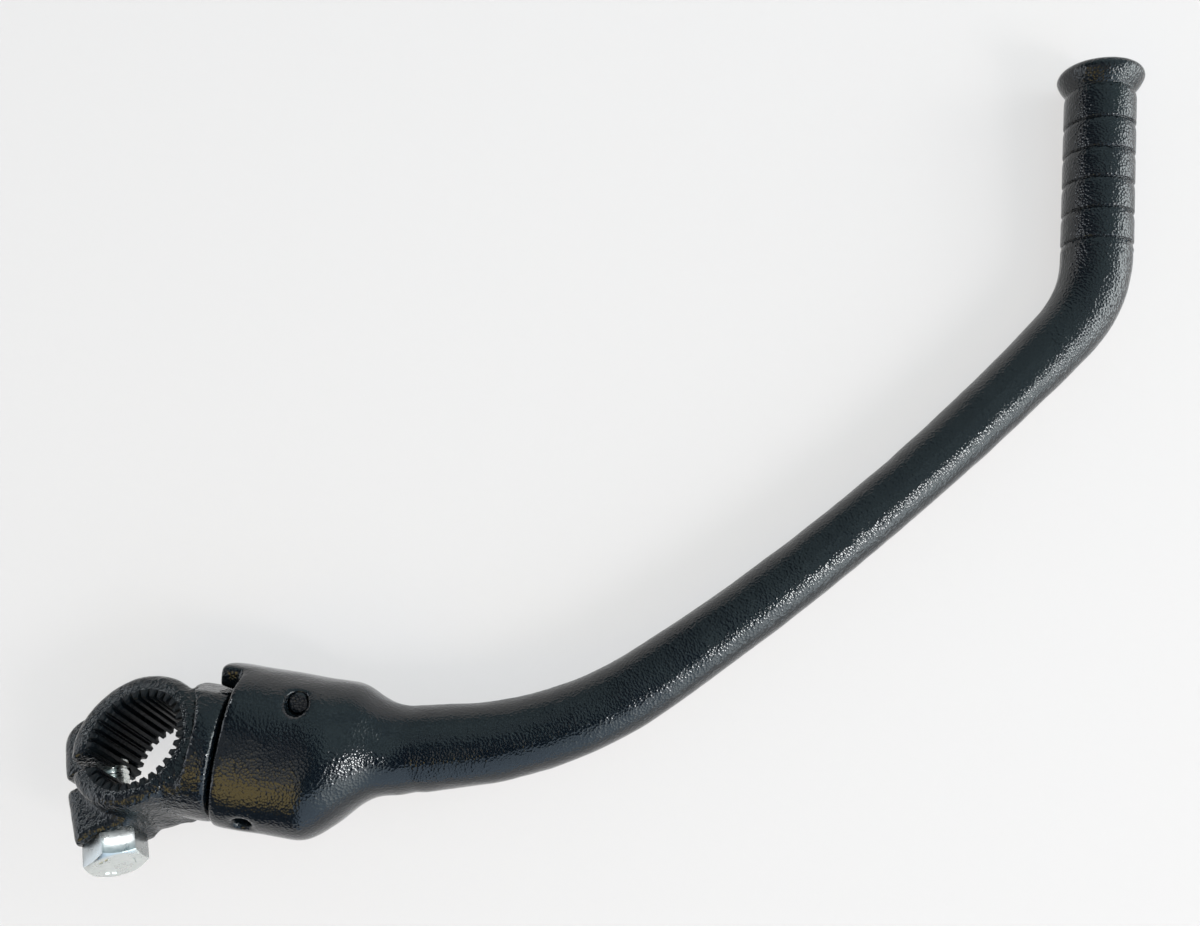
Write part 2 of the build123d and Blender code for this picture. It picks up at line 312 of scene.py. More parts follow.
# meshes
def addPiece(name, mesh):
    piece = bpy.data.objects.new(name, mesh)
    bpy.context.scene.collection.objects.link(piece)
    return piece


def bakeModifiers(piece):
    depsgraph = bpy.context.evaluated_depsgraph_get()
    mesh = bpy.data.meshes.new_from_object(piece.evaluated_get(depsgraph))
    piece.modifiers.clear()
    piece.data = mesh
    mesh.name = piece.name


def evenSkin(name, source, voxel):
    piece = addPiece(name, source.data.copy())
    remesh = piece.modifiers.new("skin", "REMESH")
    remesh.mode = "VOXEL"
    remesh.voxel_size = voxel
    bakeModifiers(piece)
    return piece


# a cut can leave slivers and folded flaps behind; both go
cutMend = {"merge": 0.008 * mm, "sliver": 0.004 * mm}


def dropFlaps(mesh):
    shell = bmesh.new()
    shell.from_mesh(mesh)
    bmesh.ops.remove_doubles(shell, verts=shell.verts, dist=cutMend["merge"])
    bmesh.ops.dissolve_degenerate(shell, edges=shell.edges, dist=cutMend["sliver"])
    bmesh.ops.triangulate(shell, faces=shell.faces)
    twins = {}
    for face in shell.faces:
        twins.setdefault(frozenset(face.verts), []).append(face)
    flaps = [face for faces in twins.values() if len(faces) > 1 for face in faces]
    bmesh.ops.delete(shell, geom=flaps, context="FACES")
    shell.to_mesh(mesh)
    shell.free()


def carve(piece, cutters):
    for cutter in cutters:
        cut = piece.modifiers.new("cut", "BOOLEAN")
        cut.operation = "DIFFERENCE"
        cut.solver = "EXACT"
        cut.object = cutter
    bakeModifiers(piece)
    dropFlaps(piece.data)
    for cutter in cutters:
        bpy.data.meshes.remove(cutter.data)


# a tube of rings, each a list of points; closed lengthwise too, or capped at its ends
def tubeMesh(name, rings, closed=False):
    rows, around = len(rings), len(rings[0])
    points = [point for ring in rings for point in ring]
    faces = []
    for row in range(rows if closed else rows - 1):
        here, there = row * around, (row + 1) % rows * around
        for step in range(around):
            ahead = (step + 1) % around
            faces.append((here + step, here + ahead, there + ahead, there + step))
    if not closed:
        faces.append(tuple(range(around))[::-1])
        faces.append(tuple(range((rows - 1) * around, rows * around)))
    mesh = bpy.data.meshes.new(name)
    mesh.from_pydata(points, [], faces)
    return mesh


def roundTurns(count):
    return [2 * math.pi * step / count for step in range(count)]


def ease(share):
    return share * share * (3 - 2 * share)


def barMesh(name, place, radius, start, end, around=96):
    ring = [(radius * math.cos(t), radius * math.sin(t)) for t in roundTurns(around)]
    return tubeMesh(name, [[place @ Vector((x, y, z)) for x, y in ring] for z in (start, end)])


def meshPoints(mesh):
    points = np.zeros(len(mesh.vertices) * 3, np.float32)
    mesh.vertices.foreach_get("co", points)
    return points.reshape(-1, 3).astype(float)


def meshNormals(mesh):
    normals = np.zeros(len(mesh.vertices) * 3, np.float32)
    mesh.vertices.foreach_get("normal", normals)
    return normals.reshape(-1, 3).astype(float)


def setPoints(mesh, points):
    mesh.vertices.foreach_set("co", points.astype(np.float32).ravel())
    mesh.update()


def relax(mesh, points, weights, passes):
    edges = np.zeros(len(mesh.edges) * 2, np.int32)
    mesh.edges.foreach_get("vertices", edges)
    a, b = edges.reshape(-1, 2).T
    count = len(points)
    degree = np.bincount(a, minlength=count) + np.bincount(b, minlength=count)
    for _ in range(passes):
        pulled = np.zeros_like(points)
        for axis in range(3):
            pulled[:, axis] += np.bincount(a, points[b, axis], count)
            pulled[:, axis] += np.bincount(b, points[a, axis], count)
        points = points + (pulled / degree[:, None] - points) * weights[:, None]
    return points


# slow swells and dents of a hammered forging, along the surface's own normals
def uneven(mesh, points, grains):
    lift = np.zeros(len(points))
    for scale, height in grains:
        lift += [height * noise.noise(Vector(p) / scale) for p in points]
    setPoints(mesh, points)
    return points + meshNormals(mesh) * lift[:, None]


# the skin never stands out of the box that the solids fill
def insideBox(points):
    return np.clip(points, np.array(cadBox[0]), np.array(cadBox[1]))


# edges at the swivel's joint stay sharper than the rest of the forging
joint = {"width": 1.8 * mm, "share": 0.35}


def jointPull(points, pull):
    away = np.abs(points[:, 0] - places["foldPoint"].x) / joint["width"]
    return pull * np.clip(away, joint["share"], 1)


def shadeSmooth(mesh, sharpFrom=None):
    mesh.polygons.foreach_set("use_smooth", [True] * len(mesh.polygons))
    if sharpFrom:
        mesh.set_sharp_from_angle(angle=math.radians(sharpFrom))
    mesh.update()


def settle(piece, body, node, material):
    dress(piece, material)
    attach(piece, body)
    if node:
        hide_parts(node)


# hub: a forging with its edges worn round under the paint; the bore is cut plain, for the toothed ring
hubSkin = {
    "voxel": 0.42 * mm,
    "passes": 24,
    "pull": 0.5,
    "stubInset": 0.12 * mm,
    "grains": [(6 * mm, 0.12 * mm), (2.4 * mm, 0.04 * mm)],
    "boreCut": 11.9 * mm,
    "boreHalf": 10.2 * mm,
    "boreAhead": 14 * mm,
    "spotRadius": 8.4 * mm,  # spot face round the bolt's head
    "spotDepth": 14 * mm,
    "stubMargin": 0.3 * mm,  # the stub starts this far before the joint
    "sharpFrom": 55,  # degrees
}


def makeHub():
    piece = evenSkin("hub_forged", nodes["hub"], hubSkin["voxel"])
    mesh = piece.data
    points = meshPoints(mesh)
    inHead = points[:, 0] > places["foldPoint"].x - hubSkin["stubMargin"]
    points = relax(mesh, points, jointPull(points, hubSkin["pull"]), hubSkin["passes"])
    points = uneven(mesh, points, hubSkin["grains"])
    radial = points[inHead] - np.array(places["foldPoint"])
    radial[:, 0] = 0
    length = np.linalg.norm(radial, axis=1, keepdims=True)
    points[inHead] -= radial / np.maximum(length, tiny) * hubSkin["stubInset"]
    setPoints(mesh, insideBox(points))
    drill = barMesh("drill", places["clamp"], hubSkin["boreCut"], -hubSkin["boreHalf"], hubSkin["boreAhead"])
    spot = barMesh("spot", places["bolt"], hubSkin["spotRadius"], -hubSkin["spotDepth"], 0)
    carve(piece, [addPiece("drill", drill), addPiece("spot", spot)])
    shadeSmooth(piece.data, hubSkin["sharpFrom"])
    settle(piece, "hub", "hub", blackPaint)
    return piece


# toothed ring in the hub's bore, slit and drilled as the hub is, in plain millimetres
teeth = {
    "count": 32,
    "crest": 10.0,
    "depth": 1.35,
    "rootHalf": 0.07,  # shares of a pitch, from the middle of a space
    "mouthHalf": 0.30,
    "outer": 12.15,
    "half": 9.86,
    "mouthRound": 0.8,
    "roundSteps": 4,
    "faceDrop": 0.08,
    "perTooth": 20,
    "slitExtra": 0.35,
    "slitShift": 1.2,  # of the outer radius, towards the lugs
    "boltHole": 4.4,
    "sharpFrom": 50,  # degrees
}


def toothRadius(turn):
    share = abs((turn * teeth["count"] / (2 * math.pi) + 0.5) % 1 - 0.5)
    climb = (share - teeth["rootHalf"]) / (teeth["mouthHalf"] - teeth["rootHalf"])
    return teeth["crest"] + teeth["depth"] * (1 - ease(min(max(climb, 0), 1)))


def slitMesh():
    mesh = bpy.data.meshes.new("slit")
    block = bmesh.new()
    bmesh.ops.create_cube(block, size=1)
    size = (2 * teeth["outer"], clampPlace["slitWidth"] + 2 * teeth["slitExtra"], 4 * teeth["half"])
    bmesh.ops.scale(block, vec=Vector(size) * mm, verts=block.verts)
    bmesh.ops.translate(block, vec=(-teeth["outer"] * teeth["slitShift"] * mm, 0, 0), verts=block.verts)
    bmesh.ops.transform(block, matrix=places["clamp"], verts=block.verts)
    block.to_mesh(mesh)
    block.free()
    return mesh


def makeTeeth():
    rings = []
    half, edge = teeth["half"], teeth["mouthRound"]
    for turn in roundTurns(teeth["count"] * teeth["perTooth"]):
        inner = toothRadius(turn)
        section = [(teeth["outer"], -half), (inner, -half), (inner, half - edge)]
        for step in range(1, teeth["roundSteps"] + 1):
            swing = math.radians(90 * step / teeth["roundSteps"])
            section.append((inner + edge * (1 - math.cos(swing)), half - edge * (1 - math.sin(swing))))
        section.append((teeth["outer"], half - teeth["faceDrop"]))
        across = (math.cos(turn) * mm, math.sin(turn) * mm)
        rings.append([places["clamp"] @ Vector((r * across[0], r * across[1], z * mm)) for r, z in section])
    piece = addPiece("bore_teeth", tubeMesh("bore_teeth", rings, closed=True))
    hole = barMesh("hole", places["bolt"], teeth["boltHole"] * mm, 0, 2 * clampPlace["boltDrop"] * mm)
    carve(piece, [addPiece("slit", slitMesh()), addPiece("hole", hole)])
    shadeSmooth(piece.data, teeth["sharpFrom"])
    settle(piece, "hub", None, borePaint)
    return piece


# foot peg, in plain millimetres: bands that draw in towards the tip and step out again, then a flared end
peg = {
    "turn": 95.7,  # degrees from +X, where the arm's last bend ends
    "bands": [2.4, 7.5, 7.5, 7.5, 7.5, 8.5],
    "bandRadius": 8.35,
    "grooveRadius": 7.85,
    "taper": 2.2,
    "bandStart": 0.45,
    # shares of the taper's length and of the groove's depth
    "taperSteps": [(0.25, 0.10), (0.5, 0.30), (0.75, 0.58), (0.94, 0.90), (1.0, 1.0)],
    # past a groove: share of its depth that is left, and how far on
    "stepOut": [(0.9, 0.05), (0.25, 0.11), (0.06, 0.22)],
    "flareRadius": 10.1,
    "flareLength": 6.0,
    "flareSteps": 10,
    "flareLean": (0.64, 0.77),  # how the flare leaves the last band
    "leanReach": 1.4,
    "standReach": 1.6,  # and how straight it meets its rim
    "flareRound": 2.2,
    "roundSteps": 8,
    "dish": 0.35,
    "dishShares": (0.8, 0.55, 0.3, 0.08),
    "around": 112,
    "join": 0.5,  # from the cut through the arm to the first ring
    "endDepth": 0.01,  # points this near the tip make up its end face
}


def pegFrame(mesh):
    turn = math.radians(peg["turn"])
    along = Vector((math.cos(turn), math.sin(turn), 0))
    points = meshPoints(mesh)
    reach = points @ np.array(along)
    face = points[reach > reach.max() - peg["endDepth"] * mm]
    tip = Vector((face.min(0) + face.max(0)) / 2)
    base = tip - along * (sum(peg["bands"]) + peg["flareLength"]) * mm
    return axesMatrix(Vector((0, 0, 1)), along.cross(Vector((0, 0, 1))), along, base)


def pegProfile():
    band, taper = peg["bandRadius"], peg["taper"]
    depth = band - peg["grooveRadius"]
    profile = []
    height = 0
    for length in peg["bands"]:
        start, height = height + peg["bandStart"], height + length
        flat = length - taper - peg["bandStart"]
        if flat < 0:  # the first band is a taper alone
            profile.append((band, peg["join"]))
        else:
            profile += [(band, start + flat * share) for share in (0.0, 0.5, 1.0)]
        profile += [(band - depth * drop, height - taper * (1 - share)) for share, drop in peg["taperSteps"]]
        if height < sum(peg["bands"]):
            profile += [(band - depth * drop, height + on) for drop, on in peg["stepOut"]]
    return profile, height


def flareProfile(height):
    start = Vector((peg["grooveRadius"], height))
    rise = peg["flareLength"] - peg["flareRound"]
    end = Vector((peg["flareRadius"], height + rise))
    profile = []
    for step in range(1, peg["flareSteps"] + 1):
        share = step / peg["flareSteps"]
        lean = start + Vector(peg["flareLean"]) * peg["leanReach"] * share
        stand = end - Vector((0, peg["standReach"])) * (1 - share)
        profile.append(tuple(lean.lerp(stand, ease(share))))
    for step in range(1, peg["roundSteps"] + 1):
        swing = math.radians(90 * step / peg["roundSteps"])
        out = peg["flareRadius"] - peg["flareRound"] * (1 - math.cos(swing))
        profile.append((out, end.y + peg["flareRound"] * math.sin(swing)))
    top = height + peg["flareLength"]
    for share in peg["dishShares"]:
        radius = (peg["flareRadius"] - peg["flareRound"]) * share
        profile.append((radius, top - peg["dish"] * (1 - share * share)))
    return profile


# arm: one long forging with a faint parting line, its grooved peg joined on as finer rings
armSkin = {
    "voxel": 0.6 * mm,
    "passes": 12,
    "pull": 0.5,
    "grains": [(9 * mm, 0.16 * mm), (3.5 * mm, 0.05 * mm)],
    "headLength": 24 * mm,  # inside the head the stub's seat stays smooth
    "seatRadius": 14 * mm,
    "seamFrom": 48 * mm,
    "seamFade": 12 * mm,
    "seamHeight": 0.10 * mm,
    "seamWidth": 0.7 * mm,
}


def joinPeg(mesh, place):
    shell = bmesh.new()
    shell.from_mesh(mesh)
    along = (place.to_3x3() @ Vector((0, 0, 1))).normalized()
    cut = {"plane_co": place.translation, "plane_no": along, "clear_outer": True}
    bmesh.ops.bisect_plane(shell, geom=shell.verts[:] + shell.edges[:] + shell.faces[:], **cut)
    profile, height = pegProfile()
    profile += flareProfile(height)
    turns = roundTurns(peg["around"])
    rings = []
    for radius, z in profile:
        ring = [Vector((radius * math.cos(t), radius * math.sin(t), z)) * mm for t in turns]
        rings.append([shell.verts.new(place @ spot) for spot in ring])
    for low, high in zip(rings, rings[1:]):
        for step in range(peg["around"]):
            ahead = (step + 1) % peg["around"]
            shell.faces.new((low[step], low[ahead], high[ahead], high[step]))
    shell.faces.new(rings[-1])
    bmesh.ops.bridge_loops(shell, edges=[edge for edge in shell.edges if edge.is_boundary])
    bmesh.ops.recalc_face_normals(shell, faces=shell.faces)
    shell.to_mesh(mesh)
    shell.free()


def makeArm():
    piece = evenSkin("arm_forged", nodes["arm"], armSkin["voxel"])
    mesh = piece.data
    points = meshPoints(mesh)
    points = relax(mesh, points, jointPull(points, armSkin["pull"]), armSkin["passes"])
    rough = uneven(mesh, points, armSkin["grains"])
    inHead = points[:, 0] < places["foldPoint"].x + armSkin["headLength"]
    fromAxis = np.linalg.norm(points[:, 1:] - np.array(places["foldPoint"])[1:], axis=1)
    onSeat = inHead & (fromAxis < armSkin["seatRadius"])
    points = np.where(onSeat[:, None], points, rough)
    seam = armSkin["seamHeight"] * np.exp(-(points[:, 2] / armSkin["seamWidth"]) ** 2)
    seam *= np.clip((points[:, 0] - armSkin["seamFrom"]) / armSkin["seamFade"], 0, 1)
    points += meshNormals(mesh) * seam[:, None]
    setPoints(mesh, insideBox(points))
    joinPeg(mesh, pegFrame(nodes["arm"].data))
    shadeSmooth(mesh)
    settle(piece, "arm", "arm", blackPaint)
    return piece


hub = makeHub()
print("hub skin:", len(hub.data.polygons), "faces")
boreTeeth = makeTeeth()
print("toothed ring:", len(boreTeeth.data.polygons), "faces")
arm = makeArm()
print("arm skin:", len(arm.data.polygons), "faces")


# pinch bolt, in plain millimetres: chamfered hexagon head with groups of raised dashes, and a rolled thread
bolt = {
    "acrossFlats": 12.0,
    "headHeight": 5.5,
    "headTurn": 36,  # degrees
    "seatShare": 0.97,  # of half the width across flats
    "faceRadius": 5.76,
    "chamfer": 30,  # degrees
    "cornerRound": 0.08,
    "cornerSoft": 0.05,
    "edgeRound": 0.09,
    # shares of that round: in from the flat, and down from the seat or up from the chamfer
    "seatEdge": [(1.0, 0.0), (0.3, 0.3), (0.0, 1.0)],
    "faceEdge": [(0.0, 1.0), (0.4, 0.1), (1.4, -0.6)],
    "leastRise": 0.1,  # of the chamfer over the face
    "rimSteps": [(0.05, 0.06), (0.3, 0.0)],  # in from the face's rim, and up from the face
    "capRadius": 0.3,
    "perSide": 20,
    "radius": 3.98,
    "length": 28.0,
    "tip": 1.0,
    "pitch": 1.25,
    "threadDepth": 0.70,
    "threadFrom": 1.5,
    "flankSlope": 1.25,
    "crestShare": 0.12,
    "rowsPerPitch": 10,
    "around": 48,
    "markRadius": 3.9,
    "markTurns": (20, 140, 260),
    "markSize": (1.0, 0.34, 0.22),
    "markTaper": (0.6, 0.85, 1.0),
    "markGap": 0.75,
    "sharpFrom": 32,  # degrees
    "flatTilt": 0.1,  # what tells the wrench flats from the other faces
    "leastFlat": 0.6 * mm * mm,
}


def hexRadius(turn):
    flat = bolt["acrossFlats"] / 2
    share = (math.degrees(turn) - bolt["headTurn"]) % 60 - 30
    reach = flat / math.cos(math.radians(share))
    corner = flat / math.cos(math.radians(30)) - bolt["cornerRound"]
    soft = bolt["cornerSoft"]
    return min(reach, corner + soft * (1 - math.exp(-max(reach - corner, 0) / soft)))


# from the seat round the shank, up the flats and over the chamfer to the middle of the face
def headRings():
    turns = roundTurns(6 * bolt["perSide"])
    edge, low = bolt["edgeRound"], -bolt["headHeight"]
    slope = math.tan(math.radians(bolt["chamfer"]))
    hexagon = [hexRadius(t) for t in turns]
    chamfer = [low + max(radius - bolt["faceRadius"], 0) * slope for radius in hexagon]
    rings = []

    def addRing(radii, heights):
        rings.append([(r * math.cos(t), r * math.sin(t), z) for t, r, z in zip(turns, radii, heights)])

    def addCircle(radius, height):
        addRing([radius] * len(turns), [height] * len(turns))

    addCircle(bolt["radius"], 0)
    addCircle(bolt["acrossFlats"] / 2 * bolt["seatShare"], 0)
    for inset, drop in bolt["seatEdge"]:
        addRing([radius - edge * inset for radius in hexagon], [-edge * drop] * len(turns))
    for inset, rise in bolt["faceEdge"]:
        heights = [max(height + edge * rise, low + bolt["leastRise"]) for height in chamfer]
        addRing([radius - edge * inset for radius in hexagon], heights)
    for inset, rise in bolt["rimSteps"]:
        addCircle(bolt["faceRadius"] - inset, low + rise)
    addCircle(bolt["faceRadius"] / 2, low)
    addCircle(bolt["capRadius"], low)
    return rings


def shankRings():
    rows = int(bolt["length"] / bolt["pitch"] * bolt["rowsPerPitch"])
    turns = roundTurns(bolt["around"])
    rings = []
    for row in range(rows + 1):
        z = bolt["length"] * row / rows
        fade = min(max((z - bolt["threadFrom"]) / bolt["pitch"], 0), 1)
        taper = max(z - (bolt["length"] - bolt["tip"]), 0)
        ring = []
        for t in turns:
            phase = (z / bolt["pitch"] - t / (2 * math.pi)) % 1
            flank = min(max(abs(2 * phase - 1) * bolt["flankSlope"] - bolt["crestShare"], 0), 1)
            radius = min(bolt["radius"] - bolt["threadDepth"] * fade * flank, bolt["radius"] - taper)
            ring.append((radius * math.cos(t), radius * math.sin(t), z))
        rings.append(ring)
    return rings


def addMark(shell, turn, shift):
    long, wide, high = bolt["markSize"]
    dash = bmesh.ops.create_cube(shell, size=1)["verts"]
    bmesh.ops.scale(shell, vec=(wide, long, 2 * high), verts=dash)
    top = [v for v in dash if v.co.z < 0]
    bmesh.ops.scale(shell, vec=bolt["markTaper"], verts=top)
    low = Matrix.Translation((bolt["markRadius"], shift, -bolt["headHeight"]))
    bmesh.ops.transform(shell, matrix=Matrix.Rotation(math.radians(turn), 4, "Z") @ low, verts=dash)


def makeBolt():
    shell = bmesh.new()
    for rings in (headRings(), shankRings()):
        part = tubeMesh("part", rings)
        shell.from_mesh(part)
        bpy.data.meshes.remove(part)
    for turn in bolt["markTurns"]:
        for shift in (-bolt["markGap"], bolt["markGap"]):
            addMark(shell, turn, shift)
    bmesh.ops.scale(shell, vec=(mm, mm, mm), verts=shell.verts)
    bmesh.ops.transform(shell, matrix=places["bolt"], verts=shell.verts)
    bmesh.ops.recalc_face_normals(shell, faces=shell.faces)
    mesh = bpy.data.meshes.new("pinch_bolt_zinc")
    shell.to_mesh(mesh)
    shell.free()
    piece = addPiece("pinch_bolt_zinc", mesh)
    shadeSmooth(mesh, bolt["sharpFrom"])
    settle(piece, "hub", "pinch_bolt", zincPlate)
    # the wrench flats take the darker zinc: painted shade
    mesh.materials.append(zincFlatsPaintedShade)
    alongBolt = (places["bolt"].to_3x3() @ Vector((0, 0, 1))).normalized()
    for face in mesh.polygons:
        tilt = abs(face.normal.dot(alongBolt))
        height = (face.center - places["bolt"].translation).dot(alongBolt)
        onFlat = tilt < bolt["flatTilt"] and height < 0 and face.area > bolt["leastFlat"]
        face.material_index = int(onFlat)
    return piece


pinchBolt = makeBolt()
print("bolt:", len(pinchBolt.data.polygons), "faces")


# floor: the plane that the lever comes to rest on, under its centre of gravity
floorLook = {
    "size": 4.0,
    "colour": (0.75, 0.68, 0.665),
    "roughness": 0.75,
    "gloss": 0.1,
    "clear": 0.62,  # the share that the eye and reflections see through, to the white sheet
    "sheetDrop": 0.45,  # the sheet lies below the swing of the folding arm
    "drop": 0.1 * mm,
    "leastFace": 15 * mm * mm,  # smaller faces of the hull are slivers
    "steepest": -0.9,
}


def weightCentre(meshes):
    total, moment = 0.0, np.zeros(3)
    for mesh in meshes:
        mesh.calc_loop_triangles()
        corners = np.zeros(len(mesh.loop_triangles) * 3, np.int32)
        mesh.loop_triangles.foreach_get("vertices", corners)
        a, b, c = meshPoints(mesh)[corners.reshape(-1, 3)].transpose(1, 0, 2)
        volume = np.einsum("ij,ij->i", a, np.cross(b, c)) / 6
        moment += ((a + b + c) / 4 * volume[:, None]).sum(0)
        total += volume.sum()
    return moment / total


def restingPlane():
    solids = [nodes[name].data for name in ("hub", "arm", "pinch_bolt")]
    hull = bmesh.new()
    for mesh in solids:
        for point in meshPoints(mesh):
            hull.verts.new(point)
    bmesh.ops.convex_hull(hull, input=hull.verts)
    bmesh.ops.recalc_face_normals(hull, faces=hull.faces)
    middle = Vector(weightCentre(solids))
    highest = None
    for face in hull.faces:
        if face.normal.z > floorLook["steepest"] or face.calc_area() < floorLook["leastFace"]:
            continue
        spot = face.calc_center_median()
        height = spot.z - (face.normal.xy.dot(middle.xy - spot.xy)) / face.normal.z
        if highest is None or height > highest[0]:
            highest = (height, Vector((middle.x, middle.y, height)), -face.normal.copy())
    hull.free()
    return highest[1], highest[2]


# what only the eye, reflections and glass see, as a share of 1
def seenShare(tree, share):
    rays = tree.nodes.new("ShaderNodeLightPath")
    seen = rays.outputs["Is Camera Ray"]
    for name in ("Is Glossy Ray", "Is Transmission Ray"):
        seen = mathNode(tree, "MAXIMUM", seen, rays.outputs[name])
    return rangeNode(tree, seen, 0, share, 0, 1)


def seeThrough(tree, shader, share):
    clear = tree.nodes.new("ShaderNodeBsdfTransparent")
    mix = tree.nodes.new("ShaderNodeMixShader")
    tree.links.new(seenShare(tree, share), mix.inputs["Fac"])
    tree.links.new(shader.outputs["BSDF"], mix.inputs[1])
    tree.links.new(clear.outputs["BSDF"], mix.inputs[2])
    tree.links.new(mix.outputs["Shader"], tree.nodes["Material Output"].inputs["Surface"])


def flatMesh(name, corners):
    mesh = bpy.data.meshes.new(name)
    mesh.from_pydata(corners, [], [tuple(range(len(corners)))])
    return mesh


# a rectangle that faces along a direction
def layPlane(name, wide, high, spot, facing):
    x, y = wide / 2, high / 2
    plane = addPiece(name, flatMesh(name, [(-x, -y, 0), (x, -y, 0), (x, y, 0), (-x, y, 0)]))
    plane.matrix_world = Matrix.Translation(spot) @ facing.to_track_quat("Z", "Y").to_matrix().to_4x4()
    return plane


# what only glows, and neither reflects nor is sampled as a lamp
def makeGlow(name, colour=(1, 1, 1)):
    material, tree, shader = newMaterial(name)
    shader.inputs["Base Color"].default_value = (0, 0, 0, 1)
    shader.inputs["Specular IOR Level"].default_value = 0.0
    shader.inputs["Emission Color"].default_value = (*colour, 1)
    shader.inputs["Emission Strength"].default_value = 1.0
    material.cycles.emission_sampling = "NONE"
    return material, tree, shader


def makeSheet(spot, normal):
    sheet = layPlane("white_sheet", floorLook["size"], floorLook["size"], spot, normal)
    material, tree, shader = makeGlow("white_sheet")
    tree.links.new(seenShare(tree, 1), shader.inputs["Emission Strength"])
    dress(sheet, material)


def makeFloor():
    spot, normal = restingPlane()
    size, under = floorLook["size"], spot - normal * floorLook["drop"]
    floor = layPlane("floor", size, size, under, normal)
    makeSheet(spot - normal * floorLook["sheetDrop"], normal)
    material, tree, shader = newMaterial("floor_paper")
    shader.inputs["Base Color"].default_value = (*floorLook["colour"], 1)
    shader.inputs["Roughness"].default_value = floorLook["roughness"]
    shader.inputs["Specular IOR Level"].default_value = floorLook["gloss"]
    seeThrough(tree, shader, floorLook["clear"])
    dress(floor, material)
    print("floor:", [round(x, 4) for x in spot], [round(x, 4) for x in normal])


makeFloor()


# light: a tent round the lever, with soft panels told by their turn from +X and their rise, in degrees
centre = Vector((100, 70, 0)) * mm  # the middle of the lever
tent = {
    "radius": 1.6,
    "rows": 12,
    "around": 48,
    "dark": (0.02, 0.035, 0.07),
    "mottle": (0.45, 1.55),  # the ceilings are of uneven brightness
    "mottleScale": 3.2,
    "panels": {
        "right_ceiling": {
            "colour": (0.46, 0.60, 0.62),
            "turn": [(-64, 0), (-50, 1), (96, 1), (120, 0.95), (132, 0.6), (142, 0)],
            "rise": [(0, 0.8), (20, 0.9), (60, 1), (90, 1.3)],
        },
        "left_ceiling": {
            "colour": (0.40, 0.42, 0.44),
            "turn": [(-180, 1), (-147, 1), (-139, 0.25), (-106, 0.2), (-92, 0),
                     (130, 0), (162, 0.15), (180, 1)],
            "rise": [(0, 0.8), (60, 1), (74, 0.8), (82, 0.2), (90, 0.2)],
        },
        "front_window": {
            "colour": (0.86, 1.08, 1.32),
            "turn": [(-93, 0), (-86, 1), (-58, 1), (-44, 0)],
            "rise": [(0, 1), (46, 1), (52, 0.7), (57, 0)],
        },
        "right_window": {
            "colour": (3.4, 3.65, 3.75),
            "turn": [(-54, 0), (-46, 0.5), (-36, 0.75), (-22, 1.1), (-15, 0.4), (-10, 0.2), (0, 0)],
            "rise": [(0, 1), (42, 1), (50, 0)],
        },
        "far_window": {
            "colour": (6.0, 6.4, 6.4),
            "turn": [(-14, 0), (-4, 0.7), (6, 1), (26, 1), (34, 0.5), (42, 0)],
            "rise": [(0, 1), (30, 1), (40, 0)],
        },
        "left_low": {
            "colour": (1.5, 1.6, 1.7),
            "turn": [(-180, 1), (-150, 1), (-140, 0), (164, 0), (172, 1), (180, 1)],
            "rise": [(0, 1), (14, 1), (24, 0)],
        },
        "gold": {
            "colour": (2.0, 1.5, 0.50),
            "turn": [(-141, 0), (-135, 1), (-106, 1), (-99, 0)],
            "rise": [(30, 0), (37, 1), (56, 1), (62, 0)],
        },
        "grey": {
            "colour": (0.80, 0.79, 0.75),
            "turn": [(-150, 0), (-141, 1), (-106, 1), (-98, 0)],
            "rise": [(55, 0), (62, 1), (74, 0.9), (80, 0)],
        },
    },
}


def panelRamp(tree, angle, stops, low, high):
    grey = [((at - low) / (high - low), (value, value, value)) for at, value in stops]
    return rampNode(tree, angle, grey)


def tentMaterial():
    material, tree, shader = makeGlow("light_tent")
    where = tree.nodes.new("ShaderNodeTexCoord")
    parts = tree.nodes.new("ShaderNodeSeparateXYZ")
    tree.links.new(vectorNode(tree, "NORMALIZE", where.outputs["Object"]), parts.inputs["Vector"])
    turn = mathNode(tree, "ARCTAN2", parts.outputs["Y"], parts.outputs["X"])
    turn = rangeNode(tree, turn, 0, 1, -math.pi, math.pi)
    rise = rangeNode(tree, mathNode(tree, "ARCSINE", parts.outputs["Z"]), 0, 1, 0, math.pi / 2)
    mottle = rangeNode(tree, noiseNode(tree, tent["mottleScale"], 3), *tent["mottle"])
    total = None
    for name, panel in tent["panels"].items():
        lit = vectorNode(tree, "MULTIPLY", panelRamp(tree, turn, panel["turn"], -180, 180), panel["colour"])
        lit = vectorNode(tree, "MULTIPLY", lit, panelRamp(tree, rise, panel["rise"], 0, 90))
        if name.endswith("ceiling"):
            lit = vectorNode(tree, "MULTIPLY", lit, mottle)
        total = vectorNode(tree, "ADD", lit, total or tent["dark"])
    tree.links.new(total, shader.inputs["Emission Color"])
    return material


def makeTent():
    shell = bmesh.new()
    around, rows = tent["around"], 2 * tent["rows"]
    bmesh.ops.create_uvsphere(shell, u_segments=around, v_segments=rows, radius=tent["radius"])
    low = [v for v in shell.verts if v.co.z < -mm]
    bmesh.ops.delete(shell, geom=low, context="VERTS")
    mesh = bpy.data.meshes.new("light_tent")
    shell.to_mesh(mesh)
    shell.free()
    cover = addPiece("light_tent", mesh)
    cover.location = centre
    dress(cover, tentMaterial())
    cover.visible_camera = False


# a dark flag above the lever: the paint mirrors it as the black band along the arm and the shoulder
flag = {
    "height": 270 * mm,
    "corners": [(25, 125), (75, 95), (105, -5), (180, -28), (238, -85),
                (228, -140), (125, -190), (75, -140), (38, 20)],
    "colour": (0.01, 0.025, 0.08),
}


# there to be mirrored: it leaves the floor evenly lit
def mirrorOnly(piece):
    piece.visible_camera = False
    piece.visible_diffuse = False
    piece.visible_shadow = False


